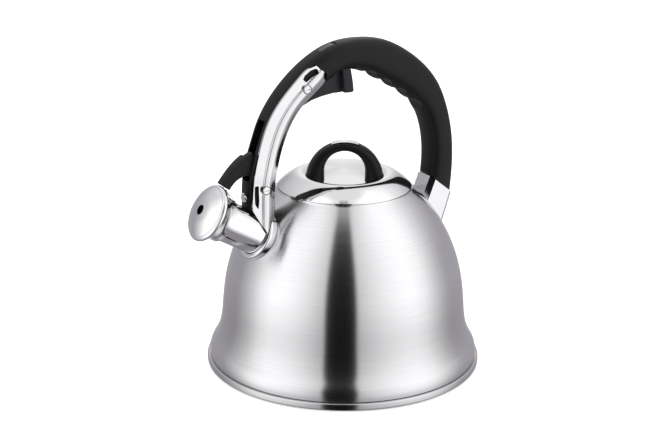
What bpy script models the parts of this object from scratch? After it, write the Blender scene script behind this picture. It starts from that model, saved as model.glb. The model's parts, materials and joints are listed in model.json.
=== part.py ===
"""Stovetop whistling kettle: steel pot, lid, arch handle, trigger and spout whistle.

The origin is the middle of the base, on the hob. +Z is up and the spout points to -X.
All numbers are millimetres. add() turns them into metres.
"""

from math import cos, pi, radians, sin

import bmesh
import bpy
import numpy as np
from mathutils import Matrix, Vector

MM = 0.001
GAP = 0.35
UP = (0.0, 0.0, 1.0)
ACROSS = (0.0, 1.0, 0.0)

# Pot
POT_STEPS = 48
SHEET = 0.6
BODY_OUTLINE = [
    (107.6, 7.0), (107.7, 12.0), (106.0, 17.5), (103.2, 22.5), (100.5, 29.0), (98.4, 38.0), (97.2, 50.0),
    (95.0, 70.0), (90.1, 90.0), (82.6, 108.0), (73.2, 123.5), (62.4, 137.0), (54.2, 145.4),
]
SEAT_RADIUS = 53.3
NECK_RADIUS = 50.2
NECK_BOTTOM = 138.0
RIM_RADIUS = 110.0
RIM_HEIGHT = (0.8, 6.6)
RIM_WIDTH = 6.8
SPREADER_HEIGHT = (1.5, 5.3)
BASE_TOP = 1.2

# Spout and whistle cap: distances along the spout axis start at the cap's rim, positive outwards
SPOUT_PITCH = radians(30.25)
SPOUT_AXIS = (-cos(SPOUT_PITCH), 0.0, sin(SPOUT_PITCH))
CAP_RIM = (-122.1, 0.0, 142.75)
CAP_RADIUS = 22.6
TUBE_RADIUS = 15.8
TUBE_MOUTH = -13.2
TUBE_END = -60.0
COLLAR_RADIUS = 19.6
COLLAR_BAND = (-58.0, -47.6)
SPOUT_STEPS = 28

# Lid and knob
LID_OUTLINE = [
    (0.0, 150.0), (13.0, 150.1), (21.5, 151.5), (27.5, 154.6), (32.5, 156.9), (37.0, 157.4), (42.0, 155.8),
    (46.5, 152.9), (50.6, 149.5), (53.0, 147.1),
]
KNOB_TURN = radians(-31.5)
KNOB_OUTER = 29.6
KNOB_TOP = 28.0
KNOB_INNER = 16.0
KNOB_CENTRE = 154.0
KNOB_DEPTH = 7.6
KNOB_SCREW_OFFSET = 21.5

# Handle: each row is outer x, z, inner x, z and half the width
HANDLE_ROWS = [
    (-89.6, 126.0, -66.0, 122.0, 10.6), (-90.0, 150.0, -65.8, 150.0, 11.0), (-88.0, 170.0, -66.4, 167.0, 11.7),
    (-82.0, 189.0, -64.3, 184.0, 12.1), (-74.8, 208.0, -58.2, 199.7, 12.1), (-63.5, 225.5, -49.3, 214.6, 12.1),
    (-48.0, 241.6, -35.5, 227.0, 12.1), (-30.0, 254.3, -19.5, 234.2, 12.6), (-10.0, 262.0, -3.5, 240.6, 13.0),
    (12.0, 263.6, 12.5, 237.0, 13.0), (33.0, 260.4, 26.0, 230.0, 13.0), (53.0, 250.8, 40.0, 222.0, 13.0),
    (71.0, 236.9, 53.5, 213.0, 13.0), (84.0, 220.6, 64.3, 203.0, 13.0), (92.6, 200.2, 71.8, 190.5, 13.0),
    (97.7, 179.0, 76.1, 174.0, 12.8), (99.5, 158.0, 77.0, 160.0, 12.4), (99.2, 143.0, 76.6, 152.0, 12.2),
    (98.1, 128.4, 75.9, 146.0, 12.0),
]
HANDLE_STATIONS = 44
SECTION_POINTS = 16
SECTION_POWER = 2.7
CHANNEL_HALF = 5.0
PAD_POCKET_HALF = 10.7
SCALLOPS = [(19.5, 236.6), (34.2, 228.0), (48.4, 218.8), (61.8, 208.6)]
SCALLOP_RADIUS = 9.0

# Arms: each row is outer x, z, inner x, z and the y of the face towards the handle
ARM_ROWS = [
    (-33.0, 248.2, -24.8, 240.8, 9.1), (-39.2, 246.5, -24.6, 236.6, 9.1), (-46.3, 241.7, -32.7, 228.1, 9.1),
    (-62.3, 225.9, -48.1, 214.5, 9.1), (-74.8, 208.1, -57.3, 199.9, 9.1), (-82.1, 187.5, -63.5, 183.5, 9.1),
    (-86.4, 164.9, -67.4, 162.9, 8.0), (-87.3, 150.5, -68.2, 150.5, 7.3), (-88.6, 137.8, -69.8, 137.8, 9.6),
    (-89.8, 123.0, -72.6, 123.0, 12.6),
]
ARM_STATIONS = 20
ARM_SECTION = [(0.0, 2.0), (0.38, 2.0), (0.41, 2.3), (0.47, 3.7), (0.57, 4.2), (0.7, 3.9), (0.84, 2.8), (1.0, 1.3)]
ARM_STEP = 9
ARM_SLOT = [(-86.0, 160.2), (-82.4, 160.2), (-82.0, 148.5), (-83.4, 141.4), (-85.9, 146.0)]
ARM_WINDOW = [
    (-43.4, 241.6), (-38.6, 245.0), (-34.0, 246.2), (-31.4, 245.0), (-31.8, 242.4), (-36.0, 240.2), (-42.0, 236.2),
    (-44.8, 238.8),
]
FAR_INSET = 3.2
FOOT_CUT = [(-92.6, 149.1), (-78.0, 122.5), (-76.6, 108.0), (-97.0, 108.0)]

# Mechanism
TRIGGER_PIVOT = (-42.1, 0.0, 231.1)
LEVER_PIVOT = (-76.9, 0.0, 156.1)
PIVOT_FACES = (9.1, 7.6)
CRANK_B = (6.6, radians(175.0))
CRANK_A = (4.33, radians(-24.5))
SHANK = 1.5
PIN = 1.0
EYE = 2.3
EYE_HOLE = 1.4
HUB_SIDE = 1.2
PLATE_HALF = 4.6
LINK_SIDES = (2.0, 3.9)

materials = {}


def clear_scene():
    for obj in list(bpy.data.objects):
        bpy.data.objects.remove(obj, do_unlink=True)


def material(name, colour, metallic, roughness):
    made = bpy.data.materials.new(name)
    made.use_nodes = True
    shader = made.node_tree.nodes["Principled BSDF"]
    shader.inputs["Base Color"].default_value = (*colour, 1.0)
    shader.inputs["Metallic"].default_value = metallic
    shader.inputs["Roughness"].default_value = roughness
    materials[name] = made


def make_materials():
    material("brushed_steel", (0.62, 0.61, 0.62), 1.0, 0.3)
    material("polished_steel", (0.72, 0.72, 0.74), 1.0, 0.08)
    material("plain_steel", (0.55, 0.55, 0.56), 1.0, 0.35)
    material("aluminium_core", (0.75, 0.75, 0.77), 1.0, 0.45)
    material("black_nylon", (0.018, 0.018, 0.02), 0.0, 0.45)
    material("gloss_inlay", (0.09, 0.09, 0.1), 0.0, 0.15)
    material("spring_steel", (0.4, 0.4, 0.42), 1.0, 0.3)


def add(name, shape, finish=None, pivot=(0.0, 0.0, 0.0)):
    """An object from (points, faces). Without a finish it is a helper that isn't rendered."""
    points, faces = shape
    pivot = Vector(pivot)
    bm = bmesh.new()
    corners = [bm.verts.new((Vector(point) - pivot) * MM) for point in points]
    for face in faces:
        bm.faces.new([corners[i] for i in face])
    bmesh.ops.recalc_face_normals(bm, faces=bm.faces)
    if bm.calc_volume(signed=True) < 0:
        bmesh.ops.reverse_faces(bm, faces=bm.faces)
    mesh = bpy.data.meshes.new(name)
    bm.to_mesh(mesh)
    bm.free()
    mesh.shade_smooth()
    mesh.set_sharp_from_angle(angle=radians(35))
    obj = bpy.data.objects.new(name, mesh)
    obj.location = pivot * MM
    bpy.context.scene.collection.objects.link(obj)
    if finish:
        mesh.materials.append(materials[finish])
    else:
        obj.hide_render = True
        obj.display_type = "WIRE"
    return obj


def combine(obj, helper, operation):
    modifier = obj.modifiers.new(helper.name, "BOOLEAN")
    modifier.operation = operation
    modifier.solver = "EXACT"
    modifier.object = helper
    triangles = obj.modifiers.new("triangles", "TRIANGULATE")
    triangles.quad_method = "BEAUTY"
    triangles.ngon_method = "BEAUTY"


def cut(obj, *helpers):
    for helper in helpers:
        combine(obj, helper, "DIFFERENCE")


def join(obj, *helpers):
    for helper in helpers:
        combine(obj, helper, "UNION")


def smooth(rows, count):
    """Points along the natural cubic curve through the rows, evenly spaced."""
    rows = np.array(rows, float)
    knots = np.concatenate([[0.0], np.cumsum(np.linalg.norm(np.diff(rows, axis=0), axis=1))])
    steps = np.diff(knots)
    system = np.eye(len(rows))
    right = np.zeros_like(rows)
    for i in range(1, len(rows) - 1):
        system[i, i - 1 : i + 2] = steps[i - 1], 2 * (steps[i - 1] + steps[i]), steps[i]
        right[i] = 6 * ((rows[i + 1] - rows[i]) / steps[i] - (rows[i] - rows[i - 1]) / steps[i - 1])
    bend = np.linalg.solve(system, right)
    along = np.linspace(0.0, knots[-1], count)
    k = np.clip(np.searchsorted(knots, along, side="right") - 1, 0, len(rows) - 2)
    ahead = (along - knots[k])[:, None]
    behind = (knots[k + 1] - along)[:, None]
    width = steps[k][:, None]
    curved = (bend[k] * behind**3 + bend[k + 1] * ahead**3) / (6 * width)
    low = (rows[k] / width - bend[k] * width / 6) * behind
    high = (rows[k + 1] / width - bend[k + 1] * width / 6) * ahead
    return curved + low + high


def shifted(curve, distance):
    """The plane curve moved to the left of its own direction."""
    tangent = np.gradient(curve, axis=0)
    tangent /= np.linalg.norm(tangent, axis=1)[:, None]
    return curve + distance * np.stack([-tangent[:, 1], tangent[:, 0]], axis=1)


def turned(outline, steps, centre=(0.0, 0.0, 0.0), axis=UP):
    """A closed outline of (radius, height) turned about an axis."""
    axis = Vector(axis)
    first = Vector((1.0, 0.0, 0.0)) if abs(axis.x) < 0.5 else Vector(ACROSS)
    second = axis.cross(first)
    points = []
    rings = []
    for radius, height in outline:
        middle = Vector(centre) + axis * float(height)
        count = 1 if radius < 1e-6 else steps
        rings.append([len(points) + i for i in range(count)])
        for i in range(count):
            angle = 2 * pi * i / steps
            points.append(middle + float(radius) * (cos(angle) * first + sin(angle) * second))
    faces = []
    for ring, after in zip(rings, rings[1:] + rings[:1]):
        for i in range(steps):
            j = (i + 1) % steps
            around = [ring[i % len(ring)], ring[j % len(ring)], after[j % len(after)], after[i % len(after)]]
            corners = list(dict.fromkeys(around))
            if len(corners) > 2:
                faces.append(corners)
    return points, faces


def rod(radius, start, end, axis, centre, steps=16):
    outline = [(0.0, start), (radius, start), (radius, end), (0.0, end)]
    return turned(outline, steps, centre, axis)


def lofted(rings):
    """Rings with the same number of points, joined in order and capped at both ends."""
    count = len(rings[0])
    points = [point for ring in rings for point in ring]
    faces = [list(range(count)), list(range(len(points) - count, len(points)))]
    for k in range(len(rings) - 1):
        for i in range(count):
            j = (i + 1) % count
            faces.append([k * count + i, k * count + j, (k + 1) * count + j, (k + 1) * count + i])
    return points, faces


def slab(outline, low, high):
    """An outline of (x, z) points extruded along Y."""
    return lofted([[(x, y, z) for x, z in outline] for y in (low, high)])


def arc(centre, radius, start, end, count):
    """Points on a circle in the XZ plane, from one angle in degrees to another."""
    angles = np.radians(np.linspace(start, end, count))
    return [(centre[0] + radius * cos(a), centre[1] + radius * sin(a)) for a in angles]


def polar(pivot, crank):
    length, angle = crank
    return (pivot[0] + length * cos(angle), 0.0, pivot[2] + length * sin(angle))


# Solids that several pieces are cut by


def body_curve(count=18):
    return smooth(BODY_OUTLINE, count)


def body_clearance(distance=GAP):
    """The filled pot, grown outwards."""
    curve = shifted(body_curve(), -distance)
    outline = [(0.0, 60.0), *map(tuple, curve[curve[:, 1] > 60.0]), (0.0, 148.0)]
    return turned(outline, POT_STEPS)


def spout_rod(radius, start, end):
    return rod(radius, start, end, SPOUT_AXIS, CAP_RIM, SPOUT_STEPS)


# Pot


def body_shell():
    outer = body_curve()
    inner = shifted(outer, SHEET)
    inner = inner[inner[:, 1] < 143.6]
    fold = [
        (SEAT_RADIUS + 0.5, 146.3), (SEAT_RADIUS, 146.2), (SEAT_RADIUS - 0.1, 145.2), (50.7, 145.0),
        (NECK_RADIUS, 144.4), (NECK_RADIUS, NECK_BOTTOM), (NECK_RADIUS + SHEET, NECK_BOTTOM),
        (NECK_RADIUS + SHEET, 143.7), (52.6, 144.2),
    ]
    outline = [*map(tuple, outer), *fold, *map(tuple, inner[::-1])]
    shell = add("body_shell", turned(outline, POT_STEPS), "brushed_steel")
    cut(shell, add("cut_spout_hole", spout_rod(TUBE_RADIUS + GAP, -75.0, -30.0)))


def bottom_pan():
    low, high = RIM_HEIGHT
    inner = RIM_RADIUS - RIM_WIDTH
    outline = [
        (0.0, high), (RIM_RADIUS - 0.9, high), (RIM_RADIUS, high - 0.9), (RIM_RADIUS, low + 1.0),
        (RIM_RADIUS - 1.0, low), (inner + 0.8, low), (inner, low + 0.8), (inner, high - 1.0), (0.0, high - 1.0),
    ]
    add("bottom_pan", turned(outline, POT_STEPS), "brushed_steel")


def base_plates():
    edge = RIM_RADIUS - RIM_WIDTH
    low, high = SPREADER_HEIGHT
    spreader = [(0.0, high), (edge - 1.6, high), (edge - 1.6, low), (0.0, low)]
    add("heat_spreader", turned(spreader, POT_STEPS), "aluminium_core")
    disc = [(0.0, BASE_TOP), (edge - 0.8, BASE_TOP), (edge - 0.8, 0.6), (edge - 1.6, 0.0), (0.0, 0.0)]
    add("base_disc", turned(disc, POT_STEPS), "plain_steel")


def spout():
    bore = TUBE_RADIUS - SHEET
    outline = [
        (TUBE_RADIUS, TUBE_MOUTH - 0.3), (TUBE_RADIUS, TUBE_END), (bore, TUBE_END), (bore, TUBE_MOUTH - 0.3),
        (bore + 0.4, TUBE_MOUTH),
    ]
    add("spout_tube", turned(outline, SPOUT_STEPS, CAP_RIM, SPOUT_AXIS), "polished_steel")
    inner = TUBE_RADIUS + GAP
    low, high = COLLAR_BAND
    ring = [(COLLAR_RADIUS, high - 1.0), (COLLAR_RADIUS - 1.2, high), (inner, high), (inner, low), (COLLAR_RADIUS, low)]
    collar = add("spout_collar", turned(ring, SPOUT_STEPS, CAP_RIM, SPOUT_AXIS), "polished_steel")
    cut(collar, add("cut_collar", body_clearance()))


def front_bracket():
    outline = [
        (-84.0, 153.0), (-82.4, 153.0), (-82.0, 149.2), (-72.6, 149.2), (-70.4, 140.0), (-70.4, 118.0), (-84.0, 118.0),
    ]
    bracket = add("front_bracket", slab(outline, -4.6, 4.6), "plain_steel")
    cut(bracket, add("cut_bracket_body", body_clearance()))
    cut(bracket, add("cut_bracket_tube", spout_rod(COLLAR_RADIUS + GAP, -80.0, COLLAR_BAND[1] + GAP)))
    cut(bracket, add("cut_bracket_mouth", spout_rod(TUBE_RADIUS + GAP, -60.0, -10.0)))
    cut(bracket, add("cut_bracket_screw", rod(1.6, -90.0, -79.0, (1.0, 0.0, 0.0), (0.0, 0.0, 149.5))))


# Rear foot of the handle


def rear_ring(middle, half, z_slope, width, chamfer):
    """An eight-sided section: half its length in X, half its width in Y, its corners cut off."""
    corners = []
    for x, y in [
        (half, width - chamfer), (half - chamfer, width), (-half + chamfer, width), (-half, width - chamfer),
        (-half, chamfer - width), (-half + chamfer, -width), (half - chamfer, -width), (half, chamfer - width),
    ]:
        corners.append((middle[0] + x, y, middle[1] - x * z_slope))
    return corners


def rear_bracket():
    slope = 0.79
    outer = lofted([
        rear_ring((73.4, 97.8), 11.8, slope, 10.8, 3.4), rear_ring((87.0, 136.1), 10.6, slope, 11.6, 3.4),
    ])
    inner = lofted([
        rear_ring((72.9, 96.8), 10.3, slope, 9.3, 2.8), rear_ring((85.7, 133.3), 8.9, slope, 10.0, 2.8),
    ])
    bracket = add("rear_bracket", outer, "polished_steel")
    tongue = [(81.6, 132.0), (82.6, 154.0), (92.8, 154.0), (92.8, 128.0)]
    join(bracket, add("tongue", slab(tongue, -6.0, 6.0)))
    cut(bracket, add("cut_rear_hollow", inner))
    cut(bracket, add("cut_rear_body", body_clearance()))
    cut(bracket, add("cut_rear_screw", rod(1.6, 84.0, 110.0, (1.0, 0.0, 0.0), (0.0, 0.0, 146.0))))


# Handle


def section_ring(row, grow=0.0):
    outer = np.array([row[0], row[1]])
    inner = np.array([row[2], row[3]])
    middle = (outer + inner) / 2
    reach = (outer - inner) / 2
    reach *= 1 + grow / np.linalg.norm(reach)
    ring = []
    for i in range(SECTION_POINTS):
        angle = 2 * pi * (i + 0.5) / SECTION_POINTS
        across = abs(cos(angle)) ** (2 / SECTION_POWER) * np.sign(cos(angle))
        out = abs(sin(angle)) ** (2 / SECTION_POWER) * np.sign(sin(angle))
        x, z = middle + reach * out
        ring.append((x, (row[4] + grow) * across, z))
    return ring


def channel_outline():
    """The hollow for the hubs, the link and the lever, open at the front and below the trigger."""
    return [
        (-12.0, 253.0), (-17.5, 253.4), (-29.5, 247.0), (-41.0, 239.4), (-47.6, 236.8), (-52.2, 233.4),
        (-54.4, 228.6), (-60.2, 220.6), (-66.2, 212.8), (-68.4, 208.6), (-104.0, 208.6), (-104.0, 163.2),
        (-84.4, 163.2), (-84.4, 116.0), (-68.6, 116.0), (-68.6, 168.0), (-68.3, 180.0), (-65.4, 192.0),
        (-61.0, 203.6), (-55.0, 212.6), (-50.6, 217.4), (-48.6, 210.0), (-12.0, 214.0),
    ]


def pad_pocket():
    return [(3.4, 214.0), (3.4, 243.0), (-0.6, 250.4), (-7.6, 257.4), (-17.6, 254.6), (-18.4, 246.0), (-12.2, 214.0)]


def handle_grip():
    rows = smooth(HANDLE_ROWS, HANDLE_STATIONS)
    grip = add("handle_grip", lofted([section_ring(row) for row in rows]), "black_nylon")
    cut(grip, add("cut_channel", slab(channel_outline(), -CHANNEL_HALF, CHANNEL_HALF)))
    cut(grip, add("cut_pad_pocket", slab(pad_pocket(), -PAD_POCKET_HALF, PAD_POCKET_HALF)))
    for i, (x, z) in enumerate(SCALLOPS):
        cut(grip, add(f"cut_scallop_{i}", rod(SCALLOP_RADIUS, -20.0, 20.0, ACROSS, (x - 4.4, 0.0, z - 6.4), 20)))
    for name, pivot in (("trigger", TRIGGER_PIVOT), ("lever", LEVER_PIVOT)):
        cut(grip, add(f"cut_{name}_bore", rod(SHANK + GAP, -20.0, 20.0, ACROSS, pivot)))
    cut(grip, add("cut_grip_body", body_clearance()))
    cut(grip, add("cut_grip_collar", spout_rod(COLLAR_RADIUS + GAP, -80.0, COLLAR_BAND[1] + GAP)))
    cut(grip, add("cut_grip_tube", spout_rod(TUBE_RADIUS + GAP, -60.0, -10.0)))
    cut(grip, add("cut_leg_screw", rod(1.9, -95.0, -80.0, (1.0, 0.0, 0.0), (0.0, 0.0, 149.5))))
    cut(grip, add("cut_leg_screw_seat", rod(4.4, -95.0, -88.5, (1.0, 0.0, 0.0), (0.0, 0.0, 149.5))))
    for side in (-1.0, 1.0):
        cut(grip, add(f"cut_arm_pocket_{side:.0f}", arm_space(side, 0, 0.4)))
        cut(grip, add(f"cut_leg_side_{side:.0f}", arm_space(side, ARM_STEP, 9.0)))
    pocket = [(81.1, 120.0), (82.1, 154.6), (93.2, 154.6), (93.2, 120.0)]
    cut(grip, add("cut_tongue", slab(pocket, -6.4, 6.4)))
    cut(grip, add("cut_rear_bore", rod(1.9, 90.0, 110.0, (1.0, 0.0, 0.0), (0.0, 0.0, 146.0))))
    cut(grip, add("cut_rear_seat", rod(3.6, 96.0, 110.0, (1.0, 0.0, 0.0), (0.0, 0.0, 146.0))))
    cut(grip, add("cut_inlay", inlay(3.0, -2.0, 3.0, 0.35)))


def inlay(half, low, high, grow):
    """A curved plate along the top of the handle."""
    rows = smooth(HANDLE_ROWS, 400)
    top = rows[:, :2]
    first = int(np.argmin(np.abs(top[:, 0] + 24.5 + grow) + (top[:, 1] < 200) * 1000))
    last = int(np.argmin(np.abs(top[:, 0] + 11.8 - 3 * grow) + (top[:, 1] < 200) * 1000))
    chosen = top[np.linspace(first, last, 7).astype(int)]
    rings = []
    outer = shifted(chosen, high)
    inner = shifted(chosen, low)
    for (xo, zo), (xi, zi) in zip(outer, inner):
        width = half + grow
        rings.append([(xo, -width, zo), (xo, width, zo), (xi, width, zi), (xi, -width, zi)])
    return lofted(rings)


def handle_inlay():
    add("handle_inlay", inlay(3.0, -1.6, -0.1, 0.0), "gloss_inlay")


def arm_space(side, first, grow):
    """The room beside the handle for an arm, from one of its stations down."""
    rings = []
    for row in smooth(ARM_ROWS, ARM_STATIONS)[first:]:
        outer = np.array(row[:2])
        inner = np.array(row[2:4])
        beyond = grow * (outer - inner) / np.linalg.norm(outer - inner)
        ring = []
        for (x, z), y in ((outer + beyond, 0.0), (inner - beyond, 0.0), (inner - beyond, 20.0), (outer + beyond, 20.0)):
            ring.append((x, side * (row[4] - GAP + y), z))
        rings.append(ring)
    return lofted([lifted(rings[0], rings[1], grow), *rings[1:-1], lifted(rings[-1], rings[-2], 6.0)])


def lifted(ring, after, distance):
    """The ring moved away from the next one."""
    way = np.mean(np.array(ring) - np.array(after), axis=0)
    way *= distance / np.linalg.norm(way)
    return [tuple(np.array(point) + way) for point in ring]


def arm(name, side, inset, windows):
    rings = []
    for row in smooth(ARM_ROWS, ARM_STATIONS):
        inner = np.array(row[2:4])
        outer = np.array(row[:2])
        outer += inset * (inner - outer) / np.linalg.norm(inner - outer)
        ring = []
        for share, height in [*ARM_SECTION, (1.0, 0.0), (0.0, 0.0)]:
            x, z = outer + share * (inner - outer)
            ring.append((x, side * (row[4] + height), z))
        rings.append(ring)
    piece = add(name, lofted(rings), "polished_steel")
    low, high = sorted((side * 5.0, side * 22.0))
    for i, outline in enumerate([FOOT_CUT, *windows]):
        cut(piece, add(f"cut_{name}_{i}", slab(outline, low, high)))
    for end, pivot, face in zip(("top", "low"), (TRIGGER_PIVOT, LEVER_PIVOT), PIVOT_FACES):
        cut(piece, add(f"cut_{name}_{end}", rod(SHANK + GAP, low, high, ACROSS, (pivot[0], 0.0, pivot[2]))))
        seat = sorted((side * (face + 2.1), side * 20.0))
        cut(piece, add(f"cut_{name}_{end}_seat", rod(3.7, *seat, ACROSS, (pivot[0], 0.0, pivot[2]))))
    cut(piece, add(f"cut_{name}_tube", spout_rod(TUBE_RADIUS + GAP, -80.0, -10.0)))
    cut(piece, add(f"cut_{name}_collar", spout_rod(COLLAR_RADIUS + GAP, -80.0, COLLAR_BAND[1] + GAP)))
    cut(piece, add(f"cut_{name}_body", body_clearance()))


def pivot_screw(name, pivot, face):
    under, top = face + 2.45, face + 4.5
    head = [(0.0, -top), (2.4, -top), (3.3, 0.8 - top), (3.3, -under), (SHANK, -under)]
    head += [(SHANK, face + 1.1), (0.0, face + 1.1)]
    screw = add(name, turned(head, 18, (pivot[0], 0.0, pivot[2]), ACROSS), "polished_steel", pivot)
    slot = [(pivot[0] - 2.0, pivot[2] - 0.4), (pivot[0] + 2.0, pivot[2] - 0.4)]
    slot += [(pivot[0] + 2.0, pivot[2] + 0.4), (pivot[0] - 2.0, pivot[2] + 0.4)]
    cut(screw, add(f"cut_{name}_slot", slab(slot, -20.0, 0.8 - top)))


def pivot_nut(name, pivot, face):
    under, top = face + 2.45, face + 4.5
    outline = [(0.0, top), (2.4, top), (3.3, top - 0.8), (3.3, under), (0.0, under)]
    add(name, turned(outline, 18, (pivot[0], 0.0, pivot[2]), ACROSS), "polished_steel")


def across_screw(name, z, head, tip, radius, shank, finish):
    """A screw along X: its head's outer face, the tip of its shank and their radii."""
    inwards = 1.0 if tip > head else -1.0
    outline = [(0.0, 0.0), (radius - 0.8, 0.0), (radius, 0.7), (radius, 2.0), (shank, 2.0)]
    outline += [(shank, abs(tip - head)), (0.0, abs(tip - head))]
    add(name, turned(outline, 16, (head, 0.0, z), (inwards, 0.0, 0.0)), finish)


# Trigger, link and spout lever


def trigger_lever():
    px, _, pz = TRIGGER_PIVOT
    plate = [
        *arc((px, pz), 6.0, 200, 80, 8), (-26.0, 240.4), (-10.0, 243.0), (-7.4, 243.0), (-6.4, 223.2),
        (-13.8, 223.3), (-24.0, 222.0), (-33.0, 220.0), (-40.6, 216.6), (-45.4, 214.6), (-48.2, 219.0),
    ]
    lever = add("trigger_lever", slab(plate, -PLATE_HALF, PLATE_HALF), "black_nylon", TRIGGER_PIVOT)
    low = smooth([(-1.4, 243.0), (-0.2, 237.0), (0.8, 231.5), (1.7, 224.0)], 6)
    pad = [(-8.8, 243.0), *map(tuple, low), (-1.0, 223.4), (-6.8, 223.6)]
    join(lever, add("trigger_pad", slab(pad, -10.0, 10.0)))
    side = [(-60.0, 245.0), (-36.4, 245.0), (-36.4, 205.0), (-60.0, 205.0)]
    cut(lever, add("cut_trigger_side", slab(side, HUB_SIDE, 8.0)))
    crank = polar(TRIGGER_PIVOT, CRANK_B)
    boss = add("crank_boss", rod(2.0, -PLATE_HALF, HUB_SIDE, ACROSS, (crank[0], 0.0, crank[2])))
    pin = add("crank_pin", rod(PIN, 0.0, 4.5, ACROSS, (crank[0], 0.0, crank[2]), 12))
    join(lever, boss, pin)
    cut(lever, add("cut_trigger_bore", rod(SHANK + GAP, -8.0, 8.0, ACROSS, (px, 0.0, pz))))


def link_rod():
    top = polar(TRIGGER_PIVOT, CRANK_B)
    low = polar(LEVER_PIVOT, CRANK_A)
    way = [
        (top[0], top[2]), (-52.2, 226.2), (-60.4, 214.2), (-68.2, 197.0), (-71.9, 177.0), (-71.2, 164.0),
        (low[0], low[2]),
    ]
    middle = smooth(way, 13)
    left = shifted(middle, -1.6)
    right = shifted(middle, 1.6)
    outline = [*map(tuple, left), *map(tuple, right[::-1])]
    link = add("link_rod", slab(outline, *LINK_SIDES), "plain_steel", top)
    for name, point in (("top", top), ("low", low)):
        eye = add(f"link_eye_{name}", rod(EYE, *LINK_SIDES, ACROSS, (point[0], 0.0, point[2]), 14))
        join(link, eye)
    for name, point in (("top", top), ("low", low)):
        cut(link, add(f"cut_link_{name}", rod(EYE_HOLE, 0.0, 8.0, ACROSS, (point[0], 0.0, point[2]), 12)))


def spout_lever():
    px, _, pz = LEVER_PIVOT
    upper = smooth([(-84.8, 185.4), (-92.0, 181.9), (-98.6, 177.0), (-105.0, 170.6), (-110.8, 163.4)], 9)
    lower = smooth([(-104.9, 158.9), (-101.0, 163.4), (-95.6, 166.9), (-89.2, 168.0)], 6)
    crank = polar(LEVER_PIVOT, CRANK_A)
    outline = [
        *map(tuple, upper), *map(tuple, lower), (-85.4, 166.2), (-83.6, 162.8), *arc((px, pz), 4.7, 170, 285, 7),
        *arc((crank[0], crank[2]), 2.4, 285, 370, 5), (-76.4, 165.0), (-80.3, 176.0),
    ]
    lever = add("spout_lever", slab(outline, -PLATE_HALF, PLATE_HALF), "black_nylon", LEVER_PIVOT)
    side = [(-90.2, 190.0), (-60.0, 190.0), (-60.0, 150.0), (-90.2, 150.0)]
    cut(lever, add("cut_lever_side", slab(side, HUB_SIDE, 8.0)))
    join(lever, add("lever_pin", rod(PIN, 0.0, 4.5, ACROSS, (crank[0], 0.0, crank[2]), 12)))
    cut(lever, add("cut_lever_bore", rod(SHANK + GAP, -8.0, 8.0, ACROSS, (px, 0.0, pz))))
    cut(lever, add("cut_lever_slot", slab(tab_tongue(0.4), -1.2, 1.2)))
    cut(lever, add("cut_lever_rivet", rod(1.35, -3.6, 8.0, ACROSS, rivet_centre(), 12)))


def along_spout(distance, out):
    """The (x, z) point at a distance along the spout axis and a distance above it."""
    x = CAP_RIM[0] - distance * cos(SPOUT_PITCH) + out * sin(SPOUT_PITCH)
    z = CAP_RIM[2] + distance * sin(SPOUT_PITCH) + out * cos(SPOUT_PITCH)
    return (x, z)


def tab_tongue(grow):
    """The upright of the cap's tab, which stands in the end of the lever."""
    x, z = along_spout(-7.2, 19.6)
    low, high = x - 1.7 - grow, x + 1.7 + grow
    return [(low, z + 2.0), (high, z - 0.4), (high, z + 9.3 + grow), (low, z + 9.3 + grow)]


def rivet_centre():
    x, z = along_spout(-7.2, 19.6)
    return (x, 0.0, z + 7.2)


def cap_tab():
    lower = [along_spout(-4.6, 20.9), along_spout(-7.6, 19.3), along_spout(-12.8, 18.2)]
    upper = [along_spout(-12.8, 19.2), along_spout(-7.6, 20.3), along_spout(-4.6, 21.8)]
    tab = add("cap_tab", slab(lower + upper, -5.0, 5.0), "polished_steel", LEVER_PIVOT)
    join(tab, add("tab_tongue", slab(tab_tongue(0.0), -0.8, 0.8)))
    cut(tab, add("cut_tab_rivet", rod(1.35, -8.0, 8.0, ACROSS, rivet_centre(), 12)))


def cap_rivet():
    add("cap_rivet", rod(1.0, -3.2, 4.5, ACROSS, rivet_centre(), 12), "polished_steel", LEVER_PIVOT)


# Whistle


def whistle_cap():
    dome = smooth([(4.0, 6.4), (10.0, 5.6), (16.0, 3.6), (20.4, 1.5)], 6)
    skirt = smooth([(22.6, -1.6), (20.8, -4.2), (18.6, -8.2), (17.7, -13.0), (17.6, -15.6)], 7)
    inner_skirt = [(16.8, -15.6), (17.0, -10.0), (18.4, -6.2), (20.2, -3.2), (21.5, -1.4), (19.9, 0.5)]
    inner_dome = [(15.7, 2.7), (9.9, 4.7), (4.0, 5.5)]
    outline = [*map(tuple, dome), (22.1, 0.4), (CAP_RADIUS + 0.1, -0.6), *map(tuple, skirt), *inner_skirt, *inner_dome]
    add("whistle_cap", turned(outline, SPOUT_STEPS, CAP_RIM, SPOUT_AXIS), "polished_steel", LEVER_PIVOT)
    for name, radius, place in (("whistle_front_plate", 16.0, 1.0), ("whistle_rear_plate", 16.8, -6.4)):
        plate = [(radius, place), (radius, place - 0.8), (2.0, place - 0.8), (2.0, place)]
        add(name, turned(plate, SPOUT_STEPS, CAP_RIM, SPOUT_AXIS), "plain_steel", LEVER_PIVOT)


# Lid


def lid_curve(count=15):
    return smooth(LID_OUTLINE, count)


def lid_shell():
    top = lid_curve()
    under = shifted(top, -SHEET)
    under[0] = (0.0, top[0][1] - SHEET)
    keep = under[under[:, 0] < 51.4]
    outline = [*map(tuple, top), (53.0, 145.8), (52.2, 145.6), *map(tuple, keep[::-1])]
    shell = add("lid_shell", turned(outline, POT_STEPS), "polished_steel")
    for side in (-1, 1):
        x = side * KNOB_SCREW_OFFSET
        place = (x * cos(KNOB_TURN), x * sin(KNOB_TURN), 0.0)
        cut(shell, add(f"cut_lid_screw_{side}", rod(1.9, 140.0, 160.0, UP, place, 12)))


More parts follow.
